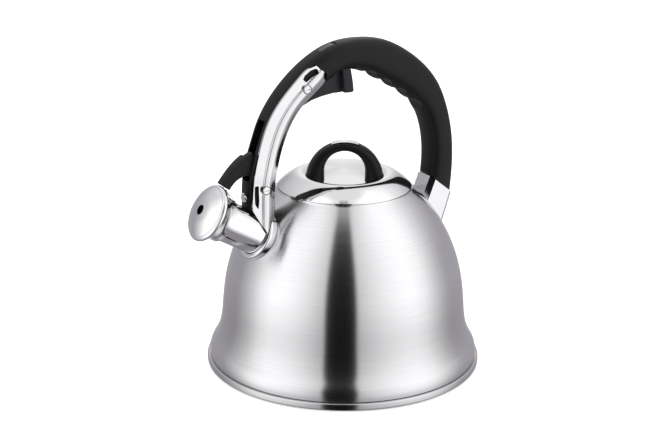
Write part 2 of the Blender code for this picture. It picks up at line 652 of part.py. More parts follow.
def lid_skirt():
    outline = [(49.7, 148.4), (49.7, 138.6), (49.3, 138.2), (47.6, 138.2), (47.6, 139.0), (48.8, 139.2), (48.8, 148.4)]
    add("lid_skirt", turned(outline, POT_STEPS), "plain_steel")


def knob_ring(degree):
    """One section of the knob's arch. Its plane is turned about the vertical."""
    angle = radians(degree)
    foot = max(0.0, -sin(angle)) + max(0.0, 0.5 - sin(angle)) * 0.35
    outer = np.array([(KNOB_OUTER + 4.6 * foot) * cos(angle), KNOB_CENTRE + KNOB_TOP * sin(angle)])
    inner = np.array([KNOB_INNER * cos(angle), KNOB_CENTRE + 4.6 + (KNOB_INNER + 0.2) * sin(angle)])
    if sin(angle) < 0:
        inner[1] = outer[1]
    middle = (outer + inner) / 2
    reach = (outer - inner) / 2
    depth = KNOB_DEPTH + 2.6 * max(0.0, 0.75 - sin(angle))
    ring = []
    for i in range(12):
        turn = 2 * pi * (i + 0.5) / 12
        across = abs(cos(turn)) ** 0.8 * np.sign(cos(turn))
        out = abs(sin(turn)) ** 0.8 * np.sign(sin(turn))
        x, z = middle + reach * out
        ring.append(turn_knob(x, depth * across, z))
    return ring


def turn_knob(x, y, z):
    return (x * cos(KNOB_TURN) - y * sin(KNOB_TURN), x * sin(KNOB_TURN) + y * cos(KNOB_TURN), z)


def lid_knob():
    rings = [knob_ring(degree) for degree in np.linspace(-9.0, 189.0, 24)]
    knob = add("lid_knob", lofted(rings), "black_nylon")
    top = shifted(lid_curve(), GAP)
    top[0] = (0.0, top[0][1])
    cut(knob, add("cut_knob_lid", turned([*map(tuple, top), (55.0, 140.0), (0.0, 140.0)], POT_STEPS)))
    for side in (-1, 1):
        place = turn_knob(side * KNOB_SCREW_OFFSET, 0.0, 0.0)
        cut(knob, add(f"cut_knob_screw_{side}", rod(1.9, 140.0, 163.0, UP, place, 12)))
    cut(knob, add("cut_badge", badge(4.6, -1.2, 3.0, 1.8)))


def badge(half, low, high, grow):
    """A curved plate on top of the knob."""
    rings = []
    for degree in np.linspace(90 - 21 - grow, 90 + 21 + grow, 9):
        angle = radians(degree)
        ring = []
        for y, out in ((-half, high), (half, high), (half, low), (-half, low)):
            x, z = (KNOB_OUTER + out) * cos(angle), (KNOB_TOP + out) * sin(angle)
            ring.append(turn_knob(x, y, KNOB_CENTRE + z))
        rings.append(ring)
    return lofted(rings)


def knob_badge():
    add("knob_badge", badge(4.2, -0.85, 0.35, 0.0), "polished_steel")


def knob_screws():
    for name, side in (("knob_screw_left", -1), ("knob_screw_right", 1)):
        place = turn_knob(side * KNOB_SCREW_OFFSET, 0.0, 0.0)
        outline = [(0.0, 161.5), (1.5, 161.5), (1.5, 149.0), (3.3, 149.0), (3.3, 147.6), (2.6, 146.8), (0.0, 146.8)]
        add(name, turned(outline, 12, place), "plain_steel")


def trigger_spring():
    """A torsion spring round the trigger's pivot, beside the hub."""
    px, _, pz = TRIGGER_PIVOT
    turns, steps, wire = 2.5, 36, 0.4
    rings = []
    for k in range(steps + 1):
        share = k / steps
        angle = 2 * pi * turns * share
        out = Vector((cos(angle), 0.0, sin(angle)))
        middle = Vector((px, 2.1 + 2.2 * share, pz)) + 2.75 * out
        ring = []
        for i in range(5):
            turn = 2 * pi * i / 5
            ring.append(middle + wire * (cos(turn) * out + sin(turn) * Vector(ACROSS)))
        rings.append(ring)
    add("trigger_spring", lofted(rings), "spring_steel")


def main():
    clear_scene()
    make_materials()
    body_shell()
    bottom_pan()
    base_plates()
    spout()
    front_bracket()
    rear_bracket()
    across_screw("rear_bracket_screw", 146.0, 98.4, 86.8, 3.2, 1.3, "polished_steel")
    handle_grip()
    handle_inlay()
    arm("side_arm_near", -1.0, 0.0, [ARM_SLOT, ARM_WINDOW])
    arm("side_arm_far", 1.0, FAR_INSET, [])
    for name, pivot, face in zip(("trigger_pivot", "lever_pivot"), (TRIGGER_PIVOT, LEVER_PIVOT), PIVOT_FACES):
        pivot_screw(f"{name}_screw", pivot, face)
        pivot_nut(f"{name}_nut", pivot, face)
    across_screw("leg_screw", 149.5, -91.2, -81.4, 4.0, 1.3, "polished_steel")
    trigger_spring()
    trigger_lever()
    link_rod()
    spout_lever()
    cap_tab()
    cap_rivet()
    whistle_cap()
    lid_shell()
    lid_skirt()
    lid_knob()
    knob_badge()
    knob_screws()


main()
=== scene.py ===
"""The whistling kettle's looks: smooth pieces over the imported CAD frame, in a white studio.

Shapes are in millimetres, in the CAD's own frame. piece() turns them into metres.
"""

import json
from math import cos, pi, radians, sin

import bmesh
import bpy
import numpy as np
from mathutils import Matrix, Vector

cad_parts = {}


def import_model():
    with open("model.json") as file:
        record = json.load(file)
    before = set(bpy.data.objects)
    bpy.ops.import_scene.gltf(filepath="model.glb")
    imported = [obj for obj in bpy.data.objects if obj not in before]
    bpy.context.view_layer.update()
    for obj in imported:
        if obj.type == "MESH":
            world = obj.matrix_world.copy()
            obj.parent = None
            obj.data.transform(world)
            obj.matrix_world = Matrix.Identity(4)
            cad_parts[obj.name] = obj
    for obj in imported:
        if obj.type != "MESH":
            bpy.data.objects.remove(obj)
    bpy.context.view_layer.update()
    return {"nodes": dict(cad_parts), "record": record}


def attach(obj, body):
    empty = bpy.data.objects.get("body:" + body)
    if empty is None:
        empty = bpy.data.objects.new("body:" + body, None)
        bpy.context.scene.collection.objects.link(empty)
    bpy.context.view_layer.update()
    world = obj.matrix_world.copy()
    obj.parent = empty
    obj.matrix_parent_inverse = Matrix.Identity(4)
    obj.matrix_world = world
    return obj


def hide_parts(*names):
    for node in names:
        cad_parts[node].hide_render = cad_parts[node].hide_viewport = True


MM = 0.001
GAP = 0.35
UP = (0.0, 0.0, 1.0)
ACROSS = (0.0, 1.0, 0.0)
ALONG = (1.0, 0.0, 0.0)
CUT = "DIFFERENCE"
JOIN = "UNION"

# Pot
ROUND = 256
SHEET = 0.6
BODY_OUTLINE = [
    (107.6, 7.0), (107.7, 12.0), (106.0, 17.5), (103.2, 22.5), (100.5, 29.0), (98.4, 38.0),
    (97.2, 50.0), (95.0, 70.0), (90.1, 90.0), (82.6, 108.0), (73.2, 123.5), (62.4, 137.0),
    (54.2, 145.4),
]
SEAT_RADIUS = 53.3
NECK_RADIUS = 50.2
NECK_BOTTOM = 138.0
CLEARANCE_BOTTOM = 60.0
CLEARANCE_TOP = 148.0
RIM_RADIUS = 110.0
RIM_HEIGHT = (0.8, 6.6)
RIM_WIDTH = 6.8

# Spout and whistle cap
SPOUT_PITCH = radians(30.25)
SPOUT_AXIS = (-cos(SPOUT_PITCH), 0.0, sin(SPOUT_PITCH))
CAP_RIM = (-122.1, 0.0, 142.75)
TUBE_RADIUS = 15.8
TUBE_MOUTH = -13.2
TUBE_END = -60.0
COLLAR_RADIUS = 19.6
COLLAR_BAND = (-58.0, -47.6)
# The foot of the cap's tab: along the spout's axis from the cap's rim, and above the axis
TAB_MIDDLE = (-7.2, 19.6)
SPOUT_ROUND = 128

# Lid and knob
LID_OUTLINE = [
    (0.0, 150.0), (13.0, 150.1), (21.5, 151.5), (27.5, 154.6), (32.5, 156.9), (37.0, 157.4),
    (42.0, 155.8), (46.5, 152.9), (50.6, 149.5), (53.0, 147.1),
]
KNOB_TURN = radians(-31.5)
KNOB_OUTER = 29.6
KNOB_TOP = 28.0
KNOB_INNER = 16.0
KNOB_CENTRE = 154.0
KNOB_DEPTH = 7.6
KNOB_POWER = 0.8
BADGE_SPAN = 21

# Handle: each row is outer x, z, inner x, z and half the width
HANDLE_ROWS = [
    (-89.6, 126.0, -66.0, 122.0, 10.6), (-90.0, 150.0, -65.8, 150.0, 11.0),
    (-88.0, 170.0, -66.4, 167.0, 11.7), (-82.0, 189.0, -64.3, 184.0, 12.1),
    (-74.8, 208.0, -58.2, 199.7, 12.1), (-63.5, 225.5, -49.3, 214.6, 12.1),
    (-48.0, 241.6, -35.5, 227.0, 12.1), (-30.0, 254.3, -19.5, 234.2, 12.6),
    (-10.0, 262.0, -3.5, 240.6, 13.0), (12.0, 263.6, 12.5, 237.0, 13.0),
    (33.0, 260.4, 26.0, 230.0, 13.0), (53.0, 250.8, 40.0, 222.0, 13.0),
    (71.0, 236.9, 53.5, 213.0, 13.0), (84.0, 220.6, 64.3, 203.0, 13.0),
    (92.6, 200.2, 71.8, 190.5, 13.0), (97.7, 179.0, 76.1, 174.0, 12.8),
    (99.5, 158.0, 77.0, 160.0, 12.4), (99.2, 143.0, 76.6, 152.0, 12.2),
    (98.1, 128.4, 75.9, 146.0, 12.0),
]
GRIP_POWER = 2 / 2.7
CHANNEL_HALF = 5.0
PAD_POCKET_HALF = 10.7
SCALLOPS = [(19.5, 236.6), (34.2, 228.0), (48.4, 218.8), (61.8, 208.6)]
SCALLOP_RADIUS = 9.0
SCALLOP_INSET = (4.4, 6.4)
INLAY_HALF = 3.0
INLAY_ENDS = (-24.5, -11.8)

# Arms: each row is outer x, z, inner x, z and the y of the face towards the handle
ARM_ROWS = [
    (-33.0, 248.2, -24.8, 240.8, 9.1), (-39.2, 246.5, -24.6, 236.6, 9.1),
    (-46.3, 241.7, -32.7, 228.1, 9.1), (-62.3, 225.9, -48.1, 214.5, 9.1),
    (-74.8, 208.1, -57.3, 199.9, 9.1), (-82.1, 187.5, -63.5, 183.5, 9.1),
    (-86.4, 164.9, -67.4, 162.9, 8.0), (-87.3, 150.5, -68.2, 150.5, 7.3),
    (-88.6, 137.8, -69.8, 137.8, 9.6), (-89.8, 123.0, -72.6, 123.0, 12.6),
]
ARM_STATIONS = 90
# The arm's section: (share of the way from its outer edge to its inner one, thickness)
ARM_SECTION = [
    (0.0, 2.0), (0.4, 2.0), (0.418, 2.2), (0.445, 3.4), (0.5, 4.0), (0.6, 4.2), (0.72, 3.8),
    (0.86, 2.6), (1.0, 1.3),
]
ARM_THICKNESS = 4.3
# The station from which the handle's sides are cut back past the arm's edges
ARM_STEP = 43
ARM_SLOT = [(-86.0, 160.2), (-82.4, 160.2), (-82.0, 148.5), (-83.4, 141.4), (-85.9, 146.0)]
ARM_WINDOW = [
    (-43.4, 241.6), (-38.6, 245.0), (-34.0, 246.2), (-31.4, 245.0), (-31.8, 242.4), (-36.0, 240.2),
    (-42.0, 236.2), (-44.8, 238.8),
]
FAR_INSET = 3.2
FOOT_CUT = [(-92.6, 149.1), (-78.0, 122.5), (-76.6, 108.0), (-97.0, 108.0)]

# Mechanism
TRIGGER_PIVOT = (-42.1, 0.0, 231.1)
LEVER_PIVOT = (-76.9, 0.0, 156.1)
PIVOTS = (TRIGGER_PIVOT, LEVER_PIVOT)
PIVOT_FACES = (9.1, 7.6)
CRANK_RADIUS = 4.33
CRANK_ANGLE = radians(-24.5)
SHANK = 1.5
PLATE_HALF = 4.6
HUB_SIDE = 1.2
PAST_PLATE = 8.0
RIVET_HOLE = 1.35

# Pivot heads: radius, and how far the seat, the underside and the top stand from the arm's face
HEAD_RADIUS = 3.3
HEAD_SEAT = 2.1
HEAD_UNDER = 2.45
HEAD_TOP = 4.5
RECESS_RADIUS = 3.7

# Screws that hold the handle to the pot, as a point on each axis, and the knob to the lid
REAR_SCREW = (0.0, 0.0, 146.0)
LEG_SCREW = (0.0, 0.0, 149.5)
SCREW_HOLE = 1.9
KNOB_SCREW_REACH = 21.5
KNOB_SCREW_START = 140.0

# Camera
CAMERA_AZIMUTH = radians(-31.5)
CAMERA_ELEVATION = radians(18.16)
CAMERA_DISTANCE = 1300.0
CAMERA_TARGET = (-7.52, 4.61, 115.28)
CAMERA_ROLL = radians(0.52)
CAMERA_LENS = 88.14

# The studio's brightness round the camera: (degrees to its right, level). LOW is near the horizon,
# UNDER well below it and HIGH well above it. The dark stripe is where the camera stands.
LIGHT_LOW = [
    (-180, 1.10), (-171, 0.80), (-160, 0.46), (-120, 0.46), (-108, 0.66), (-96, 0.96), (-84, 1.45),
    (-72, 1.70), (-60, 1.66), (-48, 1.52), (-36, 1.28), (-24, 0.95), (-18.2, 0.82), (-16.2, 0.01),
    (11.2, 0.01), (13.7, 0.82), (24, 1.07), (36, 1.30), (48, 1.48), (60, 1.62), (72, 1.62),
    (84, 1.42), (96, 1.02), (108, 0.70), (120, 0.53), (160, 0.46), (171, 0.80), (180, 1.10),
]
LIGHT_UNDER = [(-180, 0.35), (-18.2, 0.35), (-16.2, 0.01), (11.2, 0.01), (13.7, 0.35), (180, 0.35)]
LIGHT_HIGH = [
    (-180, 1.15), (-150, 1.00), (-110, 0.96), (-90, 1.25), (-72, 1.60), (-48, 1.50), (-24, 1.10),
    (-18.2, 1.00), (-16.2, 0.01), (11.2, 0.01), (13.7, 1.00), (24, 1.15), (48, 1.50), (72, 1.65),
    (90, 1.70), (110, 1.45), (150, 1.00), (180, 1.15),
]
# The elevations where each band starts and is full. One plain level lies overhead.
BAND_HIGH = (radians(6), radians(52))
BAND_TOP = (radians(67), radians(77))
BAND_UNDER = (radians(-24), radians(-42))
LEVEL_TOP = 1.05
FLOOR_HALF = 3000.0

# Painted shade: how far the brushed steel's base colour falls at the rim and the waist, where its
# reflections look darker: (share of WAIST_TOP, level)
WAIST_TOP = 100.0
WAIST_PAINTED_SHADE = [
    (0.03, 0.80), (0.09, 0.84), (0.17, 1.0), (0.29, 0.9), (0.4, 0.83), (0.52, 0.83), (0.64, 0.9),
    (0.82, 1.0),
]
# Pieces whose surface differs a little from others in the same slot. The arms, rear foot and pivot
# parts have a darker steel, painted shade for their darker reflections; the cap has a lighter steel,
# painted light.
FINISHES = {
    "arm_near": "satin_steel_painted_shade",
    "arm_far": "satin_steel_painted_shade",
    "rear_foot": "satin_steel_painted_shade",
    "trigger_pivot_head": "satin_steel_painted_shade",
    "trigger_pivot_cap": "satin_steel_painted_shade",
    "lever_pivot_head": "satin_steel_painted_shade",
    "lever_pivot_cap": "satin_steel_painted_shade",
    "cap": "cap_steel_painted_light",
    "trigger": "grey_nylon",
}

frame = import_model()
materials = {}


# Shapes


def smooth(rows, count):
    """Points along the natural cubic curve through the rows, evenly spaced."""
    rows = np.array(rows, float)
    knots = np.concatenate([[0.0], np.cumsum(np.linalg.norm(np.diff(rows, axis=0), axis=1))])
    steps = np.diff(knots)
    system = np.eye(len(rows))
    right = np.zeros_like(rows)
    for i in range(1, len(rows) - 1):
        system[i, i - 1 : i + 2] = steps[i - 1], 2 * (steps[i - 1] + steps[i]), steps[i]
        right[i] = 6 * ((rows[i + 1] - rows[i]) / steps[i] - (rows[i] - rows[i - 1]) / steps[i - 1])
    bend = np.linalg.solve(system, right)
    along = np.linspace(0.0, knots[-1], count)
    k = np.clip(np.searchsorted(knots, along, side="right") - 1, 0, len(rows) - 2)
    ahead = (along - knots[k])[:, None]
    behind = (knots[k + 1] - along)[:, None]
    width = steps[k][:, None]
    curved = (bend[k] * behind**3 + bend[k + 1] * ahead**3) / (6 * width)
    low = (rows[k] / width - bend[k] * width / 6) * behind
    high = (rows[k + 1] / width - bend[k + 1] * width / 6) * ahead
    return curved + low + high


def shifted(curve, distance):
    """The plane curve moved to the left of its own direction."""
    tangent = np.gradient(curve, axis=0)
    tangent /= np.linalg.norm(tangent, axis=1)[:, None]
    return curve + distance * np.stack([-tangent[:, 1], tangent[:, 0]], axis=1)


def rounded(outline, radius, steps=5):
    """A closed outline with its corners rounded. radius is one number or one for each corner."""
    outline = [np.array(point[:2], float) for point in outline]
    radii = [radius] * len(outline) if isinstance(radius, (int, float)) else radius
    result = []
    for i, corner in enumerate(outline):
        before = outline[i - 1] - corner
        after = outline[(i + 1) % len(outline)] - corner
        reach = min(np.linalg.norm(before), np.linalg.norm(after)) * 0.48
        before /= np.linalg.norm(before)
        after /= np.linalg.norm(after)
        half = np.arccos(np.clip(before @ after, -1, 1)) / 2
        if radii[i] <= 0 or half > radians(87):
            result.append(tuple(corner))
            continue
        back = min(radii[i] / np.tan(half), reach)
        for share in np.linspace(0.0, 1.0, steps + 1):
            first = corner + before * back * (1 - share)
            second = corner + after * back * share
            result.append(tuple(first + (second - first) * share))
    return result


def turned(outline, steps, centre=(0.0, 0.0, 0.0), axis=UP):
    """A closed outline of (radius, height) turned about an axis."""
    axis = Vector(axis)
    first = Vector((1.0, 0.0, 0.0)) if abs(axis.x) < 0.5 else Vector(ACROSS)
    second = axis.cross(first)
    points = []
    rings = []
    for radius, height in outline:
        middle = Vector(centre) + axis * float(height)
        count = 1 if radius < 1e-6 else steps
        rings.append([len(points) + i for i in range(count)])
        for i in range(count):
            angle = 2 * pi * i / steps
            points.append(middle + float(radius) * (cos(angle) * first + sin(angle) * second))
    faces = []
    for ring, after in zip(rings, rings[1:] + rings[:1]):
        for i in range(steps):
            j = (i + 1) % steps
            around = [ring[i % len(ring)], ring[j % len(ring)]]
            around += [after[j % len(after)], after[i % len(after)]]
            corners = list(dict.fromkeys(around))
            if len(corners) > 2:
                faces.append(corners)
    return points, faces


def rod(radius, start, end, axis, centre, steps=48):
    outline = [(0.0, start), (radius, start), (radius, end), (0.0, end)]
    return turned(outline, steps, centre, axis)


def lofted(rings):
    """Rings with the same number of points, joined in order and capped at both ends."""
    count = len(rings[0])
    points = [point for ring in rings for point in ring]
    faces = [list(range(count)), list(range(len(points) - count, len(points)))]
    for k in range(len(rings) - 1):
        for i in range(count):
            j = (i + 1) % count
            faces.append([k * count + i, k * count + j, (k + 1) * count + j, (k + 1) * count + i])
    return points, faces


def slab(outline, low, high):
    """An outline of (x, z) points extruded along Y."""
    return lofted([[(x, y, z) for x, z in outline] for y in (low, high)])


def arc(centre, radius, start, end, count):
    """Points on a circle in the XZ plane, from one angle in degrees to another."""
    angles = np.radians(np.linspace(start, end, count))
    return [(centre[0] + radius * cos(a), centre[1] + radius * sin(a)) for a in angles]


def section_ring(outer, inner, half, power, count):
    """A rounded rectangle between two (x, z) points, half as wide in Y as half says."""
    middle = (outer + inner) / 2
    reach = (outer - inner) / 2
    ring = []
    for i in range(count):
        angle = 2 * pi * (i + 0.5) / count
        across = abs(cos(angle)) ** power * np.sign(cos(angle))
        out = abs(sin(angle)) ** power * np.sign(sin(angle))
        x, z = middle + reach * out
        ring.append((x, half * across, z))
    return ring


def mesh_of(name, shape):
    points, faces = shape
    bm = bmesh.new()
    corners = [bm.verts.new(Vector(point) * MM) for point in points]
    for face in faces:
        bm.faces.new([corners[i] for i in face])
    bmesh.ops.recalc_face_normals(bm, faces=bm.faces)
    if bm.calc_volume(signed=True) < 0:
        bmesh.ops.reverse_faces(bm, faces=bm.faces)
    mesh = bpy.data.meshes.new(name)
    bm.to_mesh(mesh)
    bm.free()
    return mesh


def softened(shape, width):
    """The shape with its sharp edges rounded."""
    obj = bpy.data.objects.new("soft", mesh_of("soft", shape))
    bpy.context.scene.collection.objects.link(obj)
    modifier = obj.modifiers.new("soft", "BEVEL")
    modifier.width = width * MM
    modifier.segments = 3
    modifier.limit_method = "ANGLE"
    modifier.angle_limit = radians(40)
    graph = bpy.context.evaluated_depsgraph_get()
    made = bpy.data.meshes.new_from_object(obj.evaluated_get(graph))
    points = [tuple(vertex.co / MM) for vertex in made.vertices]
    faces = [list(face.vertices) for face in made.polygons]
    bpy.data.objects.remove(obj, do_unlink=True)
    return points, faces


def carved(name, shape, tools, sharp=32.0):
    """A mesh object with the tools cut away or joined on: each is (shape, operation)."""
    obj = bpy.data.objects.new(name, mesh_of(name, shape))
    bpy.context.scene.collection.objects.link(obj)
    helpers = []
    for tool, operation in tools:
        helper = bpy.data.objects.new("tool", mesh_of("tool", tool))
        bpy.context.scene.collection.objects.link(helper)
        modifier = obj.modifiers.new("tool", "BOOLEAN")
        modifier.operation = operation
        modifier.solver = "EXACT"
        modifier.object = helper
        helpers.append(helper)
    if helpers:
        graph = bpy.context.evaluated_depsgraph_get()
        made = bpy.data.meshes.new_from_object(obj.evaluated_get(graph))
        obj.modifiers.clear()
        old, obj.data = obj.data, made
        bpy.data.meshes.remove(old)
    for helper in helpers:
        bpy.data.objects.remove(helper, do_unlink=True)
    obj.data.name = name
    obj.data.shade_smooth()
    obj.data.set_sharp_from_angle(angle=radians(sharp))
    return obj


def piece(name, shape, slot, body, nodes, tools=(), sharp=32.0):
    """A visible piece that stands for CAD nodes and moves with their body."""
    obj = carved(name, shape, tools, sharp)
    obj.data.materials.clear()
    obj.data.materials.append(materials[FINISHES.get(name, slot)])
    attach(obj, body)
    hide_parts(*nodes)


def body_curve():
    return smooth(BODY_OUTLINE, 150)


def body_clearance():
    """The room that the pot and its neck take, with a gap round it."""
    curve = shifted(body_curve(), -GAP)
    upper = curve[curve[:, 1] > CLEARANCE_BOTTOM]
    outline = [(0.0, CLEARANCE_BOTTOM), *map(tuple, upper), (0.0, CLEARANCE_TOP)]
    return turned(outline, ROUND)


def spout_rod(radius, start, end):
    return rod(radius, start, end, SPOUT_AXIS, CAP_RIM, SPOUT_ROUND)


# Pot


def body_shell():
    outer = body_curve()
    inner = shifted(outer, SHEET)
    inner = inner[inner[:, 1] < 143.6]
    fold = [
        (SEAT_RADIUS + 0.5, 146.3), (SEAT_RADIUS, 146.2), (SEAT_RADIUS - 0.1, 145.2), (50.7, 145.0),
        (NECK_RADIUS, 144.4), (NECK_RADIUS, NECK_BOTTOM), (NECK_RADIUS + SHEET, NECK_BOTTOM),
        (NECK_RADIUS + SHEET, 143.7), (52.6, 144.2),
    ]
    outline = [*map(tuple, outer), *fold, *map(tuple, inner[::-1])]
    hole = (spout_rod(TUBE_RADIUS + GAP, -75.0, -30.0), CUT)
    piece("pot_body", turned(outline, ROUND), "brushed_steel", "pot", ["body_shell"], [hole])


def bottom_pan():
    low, high = RIM_HEIGHT
    inner = RIM_RADIUS - RIM_WIDTH
    corners = [
        (0.0, high), (RIM_RADIUS, high), (RIM_RADIUS, low), (inner, low), (inner, high - 1.0),
        (0.0, high - 1.0),
    ]
    outline = rounded(corners, [0, 1.5, 1.7, 0.8, 0.4, 0], 8)
    piece("pot_rim", turned(outline, ROUND), "brushed_steel", "pot", ["bottom_pan"])


def spout():
    bore = TUBE_RADIUS - SHEET
    corners = [
        (TUBE_RADIUS, TUBE_MOUTH), (TUBE_RADIUS, TUBE_END), (bore, TUBE_END), (bore, TUBE_MOUTH),
    ]
    tube = turned(rounded(corners, [0.35, 0, 0, 0.35], 3), SPOUT_ROUND, CAP_RIM, SPOUT_AXIS)
    piece("spout", tube, "polished_steel", "pot", ["spout_tube"])
    inner = TUBE_RADIUS + GAP
    low, high = COLLAR_BAND
    corners = [(COLLAR_RADIUS, high), (inner, high), (inner, low), (COLLAR_RADIUS, low)]
    ring = turned(rounded(corners, [2.0, 0.5, 0, 0], 6), SPOUT_ROUND, CAP_RIM, SPOUT_AXIS)
    piece("spout_ring", ring, "polished_steel", "pot", ["spout_collar"], [(body_clearance(), CUT)])


def rear_ring(middle, half, z_slope, width, chamfer):
    """A sloping rectangle with cut corners, that long in X and that wide in Y from its middle."""
    corners = []
    for x, y in [
        (half, width - chamfer), (half - chamfer, width), (-half + chamfer, width),
        (-half, width - chamfer), (-half, chamfer - width), (-half + chamfer, -width),
        (half - chamfer, -width), (half, chamfer - width),
    ]:
        corners.append((middle[0] + x, y, middle[1] - x * z_slope))
    return corners


def rear_bracket():
    slope = 0.79
    outer = lofted([
        rear_ring((73.4, 97.8), 11.8, slope, 10.8, 3.4),
        rear_ring((87.0, 136.1), 10.6, slope, 11.6, 3.4),
    ])
    inner = lofted([
        rear_ring((72.9, 96.8), 10.3, slope, 9.3, 2.8),
        rear_ring((85.7, 133.3), 8.9, slope, 10.0, 2.8),
    ])
    tongue = [(81.6, 132.0), (82.6, 154.0), (92.8, 154.0), (92.8, 128.0)]
    tools = [
        (slab(tongue, -6.0, 6.0), JOIN), (inner, CUT), (body_clearance(), CUT),
        (rod(1.6, 84.0, 110.0, ALONG, REAR_SCREW), CUT),
    ]
    piece("rear_foot", outer, "polished_steel", "pot", ["rear_bracket"], tools, 20.0)


# Handle


def channel_outline():
    return [
        (-12.0, 253.0), (-17.5, 253.4), (-29.5, 247.0), (-41.0, 239.4), (-47.6, 236.8), (-52.2, 233.4),
        (-54.4, 228.6), (-60.2, 220.6), (-66.2, 212.8), (-68.4, 208.6), (-104.0, 208.6),
        (-104.0, 163.2), (-84.4, 163.2), (-84.4, 116.0), (-68.6, 116.0), (-68.6, 168.0),
        (-68.3, 180.0), (-65.4, 192.0), (-61.0, 203.6), (-55.0, 212.6), (-50.6, 217.4),
        (-48.6, 210.0), (-12.0, 214.0),
    ]


def pad_pocket():
    return [
        (3.4, 214.0), (3.4, 243.0), (-0.6, 250.4), (-7.6, 257.4), (-17.6, 254.6), (-18.4, 246.0),
        (-12.2, 214.0),
    ]


def handle_grip():
    rows = smooth(HANDLE_ROWS, 220)
    pocket = [(81.1, 120.0), (82.1, 154.6), (93.2, 154.6), (93.2, 120.0)]
    tools = [
        (slab(channel_outline(), -CHANNEL_HALF, CHANNEL_HALF), CUT),
        (slab(pad_pocket(), -PAD_POCKET_HALF, PAD_POCKET_HALF), CUT),
    ]
    for x, z in SCALLOPS:
        centre = (x - SCALLOP_INSET[0], 0.0, z - SCALLOP_INSET[1])
        tools.append((rod(SCALLOP_RADIUS, -20.0, 20.0, ACROSS, centre, 64), CUT))
    for pivot in PIVOTS:
        tools.append((rod(SHANK + GAP, -20.0, 20.0, ACROSS, pivot), CUT))
    tools += [
        (body_clearance(), CUT), (spout_rod(COLLAR_RADIUS + GAP, -80.0, COLLAR_BAND[1] + GAP), CUT),
        (spout_rod(TUBE_RADIUS + GAP, -60.0, -10.0), CUT),
        (rod(SCREW_HOLE, -95.0, -80.0, ALONG, LEG_SCREW), CUT),
        (rod(4.4, -95.0, -88.5, ALONG, LEG_SCREW), CUT), (slab(pocket, -6.4, 6.4), CUT),
        (rod(SCREW_HOLE, 90.0, 110.0, ALONG, REAR_SCREW), CUT),
        (rod(3.6, 96.0, 110.0, ALONG, REAR_SCREW), CUT), (inlay(INLAY_HALF, -2.0, 3.0, GAP), CUT),
    ]
    for side in (-1.0, 1.0):
        tools.append((arm_space(side, 0, 0.4), CUT))
        tools.append((arm_space(side, ARM_STEP, 9.0), CUT))
    grip = lofted([section_ring(row[:2], row[2:4], row[4], GRIP_POWER, 48) for row in rows])
    piece("grip", grip, "black_nylon", "pot", ["handle_grip"], tools)


def inlay(half, low, high, grow):
    """A strip along the handle's top, between two heights from it."""
    rows = smooth(HANDLE_ROWS, 400)
    top = rows[:, :2]
    # The legs pass the same x further down, and this keeps the search off them.
    on_legs = (top[:, 1] < 200) * 1000
    first = int(np.argmin(np.abs(top[:, 0] - INLAY_ENDS[0] + grow) + on_legs))
    last = int(np.argmin(np.abs(top[:, 0] - INLAY_ENDS[1] - 3 * grow) + on_legs))
    chosen = top[np.linspace(first, last, 12).astype(int)]
    rings = []
    outer = shifted(chosen, high)
    inner = shifted(chosen, low)
    for (xo, zo), (xi, zi) in zip(outer, inner):
        width = half + grow
        rings.append([(xo, -width, zo), (xo, width, zo), (xi, width, zi), (xi, -width, zi)])
    return lofted(rings)


def handle_inlay():
    piece("inlay", inlay(INLAY_HALF, -1.6, -0.1, 0.0), "gloss_inlay", "pot", ["handle_inlay"])


def arm_space(side, first, grow):
    """The room beside the handle for an arm, from one of its stations down."""
    rings = []
    for row in smooth(ARM_ROWS, ARM_STATIONS)[first:]:
        outer = np.array(row[:2])
        inner = np.array(row[2:4])
        beyond = grow * (outer - inner) / np.linalg.norm(outer - inner)
        near, far = side * (row[4] - GAP), side * (row[4] - GAP + 20.0)
        (xo, zo), (xi, zi) = outer + beyond, inner - beyond
        rings.append([(xo, near, zo), (xi, near, zi), (xi, far, zi), (xo, far, zo)])
    return lofted([lifted(rings[0], rings[1], grow), *rings[1:-1], lifted(rings[-1], rings[-2], 6.0)])


def lifted(ring, after, distance):
    """The ring moved away from the next one."""
    way = np.mean(np.array(ring) - np.array(after), axis=0)
    way *= distance / np.linalg.norm(way)
    return [tuple(np.array(point) + way) for point in ring]


def arm(name, node, side, inset, windows):
    profile = smooth(ARM_SECTION, 60)
    rings = []
    for row in smooth(ARM_ROWS, ARM_STATIONS):
        inner = np.array(row[2:4])
        outer = np.array(row[:2])
        outer += inset * (inner - outer) / np.linalg.norm(inner - outer)
        ring = []
        for share, height in [*profile, (1.0, 0.0), (0.0, 0.0)]:
            x, z = outer + share * (inner - outer)
            ring.append((x, side * (row[4] + min(height, ARM_THICKNESS)), z))
        rings.append(ring)
    low, high = sorted((side * 5.0, side * 22.0))
    tools = [(slab(FOOT_CUT, low, high), CUT)]
    for outline in windows:
        tools.append((slab(rounded(outline, 1.2), low, high), CUT))
    for pivot, face in zip(PIVOTS, PIVOT_FACES):
        seat = sorted((side * (face + HEAD_SEAT), side * 20.0))
        tools.append((rod(SHANK + GAP, low, high, ACROSS, pivot), CUT))
        tools.append((rod(RECESS_RADIUS, *seat, ACROSS, pivot), CUT))
    tools += [
        (spout_rod(TUBE_RADIUS + GAP, -80.0, -10.0), CUT),
        (spout_rod(COLLAR_RADIUS + GAP, -80.0, COLLAR_BAND[1] + GAP), CUT), (body_clearance(), CUT),
    ]
    piece(name, lofted(rings), "polished_steel", "pot", [node], tools)


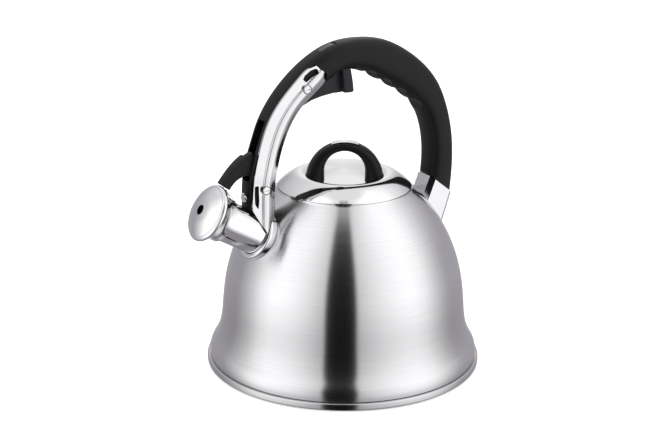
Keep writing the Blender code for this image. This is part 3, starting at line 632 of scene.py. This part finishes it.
def pivot_screw(name, node, pivot, face):
    under, top, end = face + HEAD_UNDER, face + HEAD_TOP, face + 1.1
    corners = [
        (0.0, -top), (HEAD_RADIUS, -top), (HEAD_RADIUS, -under), (SHANK, -under), (SHANK, end),
        (0.0, end),
    ]
    shape = turned(rounded(corners, [0, 0.9, 0.2, 0, 0.2, 0], 5), 64, pivot, ACROSS)
    slot_corners = [(-2.0, -0.4), (2.0, -0.4), (2.0, 0.4), (-2.0, 0.4)]
    slot = [(pivot[0] + x, pivot[2] + z) for x, z in slot_corners]
    piece(name, shape, "polished_steel", "pot", [node], [(slab(slot, -20.0, 0.8 - top), CUT)])


def pivot_nut(name, node, pivot, face):
    under, top = face + HEAD_UNDER, face + HEAD_TOP
    corners = [(0.0, top), (HEAD_RADIUS, top), (HEAD_RADIUS, under), (0.0, under)]
    shape = turned(rounded(corners, [0, 0.9, 0.2, 0], 5), 64, pivot, ACROSS)
    piece(name, shape, "polished_steel", "pot", [node])


# Trigger and lever


def trigger_lever():
    px, _, pz = TRIGGER_PIVOT
    plate = [
        *arc((px, pz), 6.0, 200, 80, 24), (-26.0, 240.4), (-10.0, 243.0), (-7.4, 243.0), (-6.4, 223.2),
        (-13.8, 223.3), (-24.0, 222.0), (-33.0, 220.0), (-40.6, 216.6), (-45.4, 214.6), (-48.2, 219.0),
    ]
    low = smooth([(-1.4, 243.0), (-0.2, 237.0), (0.8, 231.5), (1.7, 224.0)], 16)
    pad = [(-8.8, 243.0), *map(tuple, low), (-1.0, 223.4), (-6.8, 223.6)]
    side = [(-60.0, 245.0), (-36.4, 245.0), (-36.4, 205.0), (-60.0, 205.0)]
    tools = [
        (softened(slab(pad, -10.0, 10.0), 0.9), JOIN), (slab(side, HUB_SIDE, PAST_PLATE), CUT),
        (rod(SHANK + GAP, -PAST_PLATE, PAST_PLATE, ACROSS, TRIGGER_PIVOT), CUT),
    ]
    shape = softened(slab(plate, -PLATE_HALF, PLATE_HALF), 0.5)
    piece("trigger", shape, "black_nylon", "trigger", ["trigger_lever"], tools)


def along_spout(distance, out):
    """The point that far along the spout's axis from the cap's rim, and that far above the axis."""
    x = CAP_RIM[0] - distance * cos(SPOUT_PITCH) + out * sin(SPOUT_PITCH)
    z = CAP_RIM[2] + distance * sin(SPOUT_PITCH) + out * cos(SPOUT_PITCH)
    return (x, z)


def tab_tongue(grow):
    x, z = along_spout(*TAB_MIDDLE)
    low, high = x - 1.7 - grow, x + 1.7 + grow
    return [(low, z + 2.0), (high, z - 0.4), (high, z + 9.3 + grow), (low, z + 9.3 + grow)]


def rivet_centre():
    x, z = along_spout(*TAB_MIDDLE)
    return (x, 0.0, z + 7.2)


def rivet_hole(start):
    return (rod(RIVET_HOLE, start, PAST_PLATE, ACROSS, rivet_centre(), 24), CUT)


def spout_lever():
    px, _, pz = LEVER_PIVOT
    back = [(-84.8, 185.4), (-92.0, 181.9), (-98.6, 177.0), (-105.0, 170.6), (-110.8, 163.4)]
    upper = smooth(back, 32)
    lower = smooth([(-104.9, 158.9), (-101.0, 163.4), (-95.6, 166.9), (-89.2, 168.0)], 24)
    crank = (px + CRANK_RADIUS * cos(CRANK_ANGLE), pz + CRANK_RADIUS * sin(CRANK_ANGLE))
    outline = [
        *map(tuple, upper), *map(tuple, lower), (-85.4, 166.2), (-83.6, 162.8),
        *arc((px, pz), 4.7, 170, 285, 20), *arc(crank, 2.4, 285, 370, 12), (-76.4, 165.0),
        (-80.3, 176.0),
    ]
    side = [(-90.2, 190.0), (-60.0, 190.0), (-60.0, 150.0), (-90.2, 150.0)]
    tools = [
        (slab(side, HUB_SIDE, PAST_PLATE), CUT),
        (rod(1.0, 0.0, 4.5, ACROSS, (crank[0], 0.0, crank[1])), JOIN),
        (rod(SHANK + GAP, -PAST_PLATE, PAST_PLATE, ACROSS, LEVER_PIVOT), CUT),
        (slab(tab_tongue(0.4), -1.2, 1.2), CUT), rivet_hole(-3.6),
    ]
    shape = softened(slab(outline, -PLATE_HALF, PLATE_HALF), 0.4)
    piece("lever", shape, "black_nylon", "whistle", ["spout_lever"], tools)


def cap_tab():
    lower = [along_spout(-4.6, 20.9), along_spout(-7.6, 19.3), along_spout(-12.8, 18.2)]
    upper = [along_spout(-12.8, 19.2), along_spout(-7.6, 20.3), along_spout(-4.6, 21.8)]
    tools = [(slab(tab_tongue(0.0), -0.8, 0.8), JOIN), rivet_hole(-PAST_PLATE)]
    plate = softened(slab(lower + upper, -5.0, 5.0), 0.25)
    piece("tab", plate, "polished_steel", "whistle", ["cap_tab"], tools)


def cap_rivet():
    shape = softened(rod(1.0, -3.2, 4.5, ACROSS, rivet_centre(), 32), 0.15)
    piece("rivet", shape, "polished_steel", "whistle", ["cap_rivet"])


def whistle_cap():
    face = smooth([(4.0, 6.4), (10.0, 5.6), (16.0, 3.6), (19.0, 2.2), (20.0, 1.55)], 30)
    edge = [(20.3, 1.55), (20.9, 1.45), (21.8, 0.7), (22.5, -0.1), (22.7, -0.8), (22.6, -1.6)]
    dome = [*face, *smooth(edge, 24)]
    skirt = smooth([(22.6, -1.6), (20.8, -4.2), (18.6, -8.2), (17.7, -13.0), (17.6, -15.6)], 30)
    inner_skirt = smooth([(16.8, -15.6), (17.0, -10.0), (18.4, -6.2), (20.2, -3.2), (21.5, -1.4)], 20)
    inner_dome = [(19.9, 0.5), (15.7, 2.7), (9.9, 4.7), (4.0, 5.5)]
    outline = [*map(tuple, dome), *map(tuple, skirt[1:]), *map(tuple, inner_skirt), *inner_dome]
    shape = turned(outline, SPOUT_ROUND, CAP_RIM, SPOUT_AXIS)
    piece("cap", shape, "polished_steel", "whistle", ["whistle_cap"])


# Lid


def lid_curve():
    return smooth(LID_OUTLINE, 110)


def lid_shell():
    top = lid_curve()
    under = shifted(top, -SHEET)
    under[0] = (0.0, top[0][1] - SHEET)
    keep = under[under[:, 0] < 51.4]
    outline = [*map(tuple, top), (53.0, 145.8), (52.2, 145.6), *map(tuple, keep[::-1])]
    tools = [knob_screw_hole(side, 160.0) for side in (-1, 1)]
    piece("lid", turned(outline, ROUND), "polished_steel", "lid", ["lid_shell"], tools)


def knob_screw_hole(side, end):
    centre = turn_knob(side * KNOB_SCREW_REACH, 0.0, 0.0)
    return (rod(SCREW_HOLE, KNOB_SCREW_START, end, UP, centre, 24), CUT)


def turn_knob(x, y, z):
    """A point of the knob's own frame, turned with the knob."""
    return (x * cos(KNOB_TURN) - y * sin(KNOB_TURN), x * sin(KNOB_TURN) + y * cos(KNOB_TURN), z)


def knob_ring(degree):
    angle = radians(degree)
    foot = max(0.0, -sin(angle)) + max(0.0, 0.5 - sin(angle)) * 0.35
    outer = np.array([(KNOB_OUTER + 4.6 * foot) * cos(angle), KNOB_CENTRE + KNOB_TOP * sin(angle)])
    inner = np.array([KNOB_INNER * cos(angle), KNOB_CENTRE + 4.6 + (KNOB_INNER + 0.2) * sin(angle)])
    if sin(angle) < 0:
        inner[1] = outer[1]
    depth = KNOB_DEPTH + 2.6 * max(0.0, 0.75 - sin(angle))
    return [turn_knob(*point) for point in section_ring(outer, inner, depth, KNOB_POWER, 40)]


def badge(half, low, high, grow):
    """A strip over the knob's top, between two heights from it."""
    rings = []
    for degree in np.linspace(90 - BADGE_SPAN - grow, 90 + BADGE_SPAN + grow, 25):
        angle = radians(degree)
        ring = []
        for y, out in ((-half, high), (half, high), (half, low), (-half, low)):
            x, z = (KNOB_OUTER + out) * cos(angle), (KNOB_TOP + out) * sin(angle)
            ring.append(turn_knob(x, y, KNOB_CENTRE + z))
        rings.append(ring)
    return lofted(rings)


def lid_knob():
    top = shifted(lid_curve(), 0.05)
    top[0] = (0.0, top[0][1])
    lid_room = turned([*map(tuple, top), (55.0, 140.0), (0.0, 140.0)], ROUND)
    tools = [
        (lid_room, CUT), knob_screw_hole(-1, 163.0), knob_screw_hole(1, 163.0),
        (badge(4.6, -1.2, 3.0, 1.8), CUT),
    ]
    rings = [knob_ring(degree) for degree in np.linspace(-9.0, 189.0, 100)]
    piece("knob", lofted(rings), "black_nylon", "lid", ["lid_knob"], tools)
    piece("knob_plate", badge(4.2, -0.85, 0.35, 0.0), "polished_steel", "lid", ["knob_badge"])


# Materials


def new_material(name, metallic):
    made = bpy.data.materials.new(name)
    made.use_nodes = True
    tree = made.node_tree
    shader = tree.nodes["Principled BSDF"]
    shader.inputs["Metallic"].default_value = metallic
    materials[name] = made
    return tree, shader


def noise(tree, scale, detail, stretch=(1.0, 1.0, 1.0)):
    place = tree.nodes.new("ShaderNodeTexCoord")
    mapping = tree.nodes.new("ShaderNodeMapping")
    mapping.inputs["Scale"].default_value = stretch
    texture = tree.nodes.new("ShaderNodeTexNoise")
    texture.inputs["Scale"].default_value = scale
    texture.inputs["Detail"].default_value = detail
    tree.links.new(place.outputs["Object"], mapping.inputs["Vector"])
    tree.links.new(mapping.outputs["Vector"], texture.inputs["Vector"])
    return texture.outputs["Fac"]


def ramp(tree, value, stops):
    """A colour that follows the value: stops are (value from 0 to 1, colour), in order."""
    node = tree.nodes.new("ShaderNodeValToRGB")
    elements = node.color_ramp.elements
    while len(elements) < len(stops):
        elements.new(0.5)
    for element, (position, colour) in zip(elements, stops):
        element.position = position
        element.color = (*colour, 1.0)
    tree.links.new(value, node.inputs["Fac"])
    return node.outputs["Color"]


def spread(tree, value, source, target):
    """The value moved from one range to another, and held inside it."""
    node = tree.nodes.new("ShaderNodeMapRange")
    for name, level in zip(("From Min", "From Max", "To Min", "To Max"), (*source, *target)):
        node.inputs[name].default_value = level
    tree.links.new(value, node.inputs["Value"])
    return node.outputs["Result"]


def mix(tree, share, first, second, blend_type="MIX"):
    """One colour from two. Each value is a socket, or a number that stands for a grey."""
    node = tree.nodes.new("ShaderNodeMixRGB")
    node.blend_type = blend_type
    for name, value in (("Fac", share), ("Color1", first), ("Color2", second)):
        if not isinstance(value, float):
            tree.links.new(value, node.inputs[name])
        elif name == "Fac":
            node.inputs[name].default_value = value
        else:
            node.inputs[name].default_value = (value, value, value, 1.0)
    return node.outputs["Color"]


def maths(tree, operation, first, second):
    node = tree.nodes.new("ShaderNodeMath")
    node.operation = operation
    for socket, value in zip(node.inputs, (first, second)):
        if isinstance(value, float):
            socket.default_value = value
        else:
            tree.links.new(value, socket)
    return node.outputs["Value"]


def split(tree, vector):
    node = tree.nodes.new("ShaderNodeSeparateXYZ")
    tree.links.new(vector, node.inputs["Vector"])
    return node.outputs["X"], node.outputs["Y"], node.outputs["Z"]


def cloudy(tree, shader, value, low, high, rough):
    """The base colour and the roughness wander together, each between two values."""
    colour = ramp(tree, value, [(0.3, low), (0.7, high)])
    tree.links.new(colour, shader.inputs["Base Color"])
    tree.links.new(spread(tree, value, (0.0, 1.0), rough), shader.inputs["Roughness"])
    return colour


def brushed_steel():
    """Fine lines run round the pot, so highlights spread up and down."""
    tree, shader = new_material("brushed_steel", 1.0)
    lines = noise(tree, 60.0, 3.0, (0.6, 0.6, 60.0))
    colour = cloudy(tree, shader, lines, (0.60, 0.595, 0.61), (0.66, 0.655, 0.665), (0.18, 0.25))
    # Painted shade: the base colour darkens with height at the rim and the waist, for darker
    # reflections there.
    place = tree.nodes.new("ShaderNodeTexCoord")
    height = split(tree, place.outputs["Object"])[2]
    share = spread(tree, height, (0.0, WAIST_TOP * MM), (0.0, 1.0))
    shade = ramp(tree, share, [(position, (level, level, level)) for position, level in WAIST_PAINTED_SHADE])
    tree.links.new(mix(tree, 1.0, colour, shade, "MULTIPLY"), shader.inputs["Base Color"])
    shader.inputs["Anisotropic"].default_value = 0.98
    shader.inputs["Anisotropic Rotation"].default_value = 0.25
    tangent = tree.nodes.new("ShaderNodeTangent")
    tangent.direction_type = "RADIAL"
    tangent.axis = "Z"
    tree.links.new(tangent.outputs["Tangent"], shader.inputs["Tangent"])


def plain_metal(name, low, high, rough, scale):
    tree, shader = new_material(name, 1.0)
    cloudy(tree, shader, noise(tree, scale, 2.0), low, high, (rough * 0.8, rough * 1.2))


def nylon(name, low, high):
    tree, shader = new_material(name, 0.0)
    cloudy(tree, shader, noise(tree, 40.0, 2.0), low, high, (0.36, 0.44))
    shader.inputs["IOR"].default_value = 1.27
    grain = tree.nodes.new("ShaderNodeBump")
    grain.inputs["Strength"].default_value = 0.12
    grain.inputs["Distance"].default_value = 0.3 * MM
    tree.links.new(noise(tree, 2600.0, 2.0), grain.inputs["Height"])
    tree.links.new(grain.outputs["Normal"], shader.inputs["Normal"])


def gloss_inlay():
    tree, shader = new_material("gloss_inlay", 0.0)
    cloud = noise(tree, 60.0, 2.0)
    cloudy(tree, shader, cloud, (0.015, 0.015, 0.017), (0.022, 0.022, 0.025), (0.12, 0.2))


def make_materials():
    brushed_steel()
    plain_metal("polished_steel", (0.68, 0.68, 0.69), (0.72, 0.72, 0.73), 0.07, 30.0)
    # Painted shade: a darker copy of the polished steel, for pieces whose reflections look darker, and
    # a little rougher.
    plain_metal("satin_steel_painted_shade", (0.55, 0.55, 0.56), (0.59, 0.59, 0.6), 0.1, 30.0)
    # Painted light: a lighter copy of the polished steel for the cap, and a little rougher.
    plain_metal("cap_steel_painted_light", (0.71, 0.71, 0.72), (0.75, 0.75, 0.76), 0.12, 30.0)
    plain_metal("plain_steel", (0.5, 0.5, 0.51), (0.58, 0.58, 0.59), 0.35, 60.0)
    plain_metal("aluminium_core", (0.72, 0.72, 0.74), (0.8, 0.8, 0.82), 0.45, 60.0)
    plain_metal("spring_steel", (0.36, 0.36, 0.38), (0.44, 0.44, 0.46), 0.3, 90.0)
    nylon("black_nylon", (0.004, 0.004, 0.005), (0.006, 0.006, 0.0075))
    nylon("grey_nylon", (0.014, 0.014, 0.016), (0.017, 0.017, 0.02))
    gloss_inlay()


def dress_frame():
    """Small and hidden CAD nodes keep their shapes and get the same finishes."""
    slots = {row["node"]: row["material_slot"] for row in frame["record"]["subparts"]}
    for name, obj in frame["nodes"].items():
        obj.data.materials.clear()
        obj.data.materials.append(materials[slots[name]])


# Studio


def camera_axes():
    a, e, r = CAMERA_AZIMUTH, CAMERA_ELEVATION, CAMERA_ROLL
    back = Vector((sin(a) * cos(e), -cos(a) * cos(e), sin(e)))
    right = Vector(UP).cross(back).normalized()
    up = back.cross(right)
    return right * cos(r) + up * sin(r), up * cos(r) - right * sin(r), back


def add_camera():
    data = bpy.data.cameras.new("camera")
    data.lens = CAMERA_LENS
    data.clip_end = 100.0
    camera = bpy.data.objects.new("camera", data)
    right, up, back = camera_axes()
    place = (Vector(CAMERA_TARGET) + back * CAMERA_DISTANCE) * MM
    camera.matrix_world = Matrix.Translation(place) @ Matrix((right, up, back)).transposed().to_4x4()
    bpy.context.scene.collection.objects.link(camera)
    bpy.context.scene.camera = camera
    bpy.context.scene.view_settings.view_transform = "Standard"


def light_around(tree, share, levels):
    """The levels round the camera. Dim ones lean a little to violet."""
    stops = []
    for degrees, level in levels:
        tint = 0.04 if level < 0.6 else 0.0
        colour = (level, level * (1.0 - tint), level * (1.0 + tint))
        stops.append(((degrees + 180) / 360, colour))
    return ramp(tree, share, stops)


def blend(tree, height, band, first, second):
    """The first colour before the band's start, the second beyond where it is full."""
    share = spread(tree, height, (sin(band[0]), sin(band[1])), (0.0, 1.0))
    return mix(tree, share, first, second)


def world():
    """A white studio: bright at both sides, darker behind, and dark where the camera stands."""
    scene_world = bpy.data.worlds.new("studio")
    scene_world.use_nodes = True
    bpy.context.scene.world = scene_world
    tree = scene_world.node_tree
    tree.nodes.clear()
    place = tree.nodes.new("ShaderNodeTexCoord")
    turn = tree.nodes.new("ShaderNodeVectorRotate")
    turn.rotation_type = "Z_AXIS"
    turn.inputs["Angle"].default_value = -CAMERA_AZIMUTH
    tree.links.new(place.outputs["Generated"], turn.inputs["Vector"])
    right, forward, height = split(tree, turn.outputs["Vector"])
    azimuth = maths(tree, "ARCTAN2", right, maths(tree, "MULTIPLY", forward, -1.0))
    share = spread(tree, azimuth, (-pi, pi), (0.0, 1.0))
    low = light_around(tree, share, LIGHT_LOW)
    high = light_around(tree, share, LIGHT_HIGH)
    under = light_around(tree, share, LIGHT_UNDER)
    colour = blend(tree, height, BAND_HIGH, low, high)
    colour = blend(tree, height, BAND_TOP, colour, LEVEL_TOP)
    colour = blend(tree, height, BAND_UNDER, colour, under)
    # The camera sees plain white behind the kettle. The studio is only light and reflections.
    seen = tree.nodes.new("ShaderNodeLightPath")
    colour = mix(tree, seen.outputs["Is Camera Ray"], colour, 1.0)
    background = tree.nodes.new("ShaderNodeBackground")
    tree.links.new(colour, background.inputs["Color"])
    output = tree.nodes.new("ShaderNodeOutputWorld")
    tree.links.new(background.outputs["Background"], output.inputs["Surface"])


def floor():
    """A white floor that glows a little, and that the steel doesn't mirror."""
    half = FLOOR_HALF * MM
    corners = [(-half, -half, 0.0), (half, -half, 0.0), (half, half, 0.0), (-half, half, 0.0)]
    mesh = bpy.data.meshes.new("floor")
    mesh.from_pydata(corners, [], [(0, 1, 2, 3)])
    obj = bpy.data.objects.new("floor", mesh)
    bpy.context.scene.collection.objects.link(obj)
    tree, shader = new_material("floor", 0.0)
    colour = ramp(tree, noise(tree, 2.0, 1.0), [(0.3, (0.88, 0.88, 0.88)), (0.7, (0.9, 0.9, 0.9))])
    tree.links.new(colour, shader.inputs["Base Color"])
    shader.inputs["Roughness"].default_value = 0.9
    shader.inputs["Emission Color"].default_value = (1.0, 1.0, 1.0, 1.0)
    shader.inputs["Emission Strength"].default_value = 0.5
    mesh.materials.append(materials["floor"])
    obj.visible_glossy = False


def main():
    make_materials()
    dress_frame()
    body_shell()
    bottom_pan()
    spout()
    rear_bracket()
    handle_grip()
    handle_inlay()
    arm("arm_near", "side_arm_near", -1.0, 0.0, [ARM_SLOT, ARM_WINDOW])
    arm("arm_far", "side_arm_far", 1.0, FAR_INSET, [])
    for name, pivot, face in zip(("trigger_pivot", "lever_pivot"), PIVOTS, PIVOT_FACES):
        pivot_screw(f"{name}_head", f"{name}_screw", pivot, face)
        pivot_nut(f"{name}_cap", f"{name}_nut", pivot, face)
    trigger_lever()
    spout_lever()
    cap_tab()
    cap_rivet()
    whistle_cap()
    lid_shell()
    lid_knob()
    floor()
    world()
    add_camera()


main()
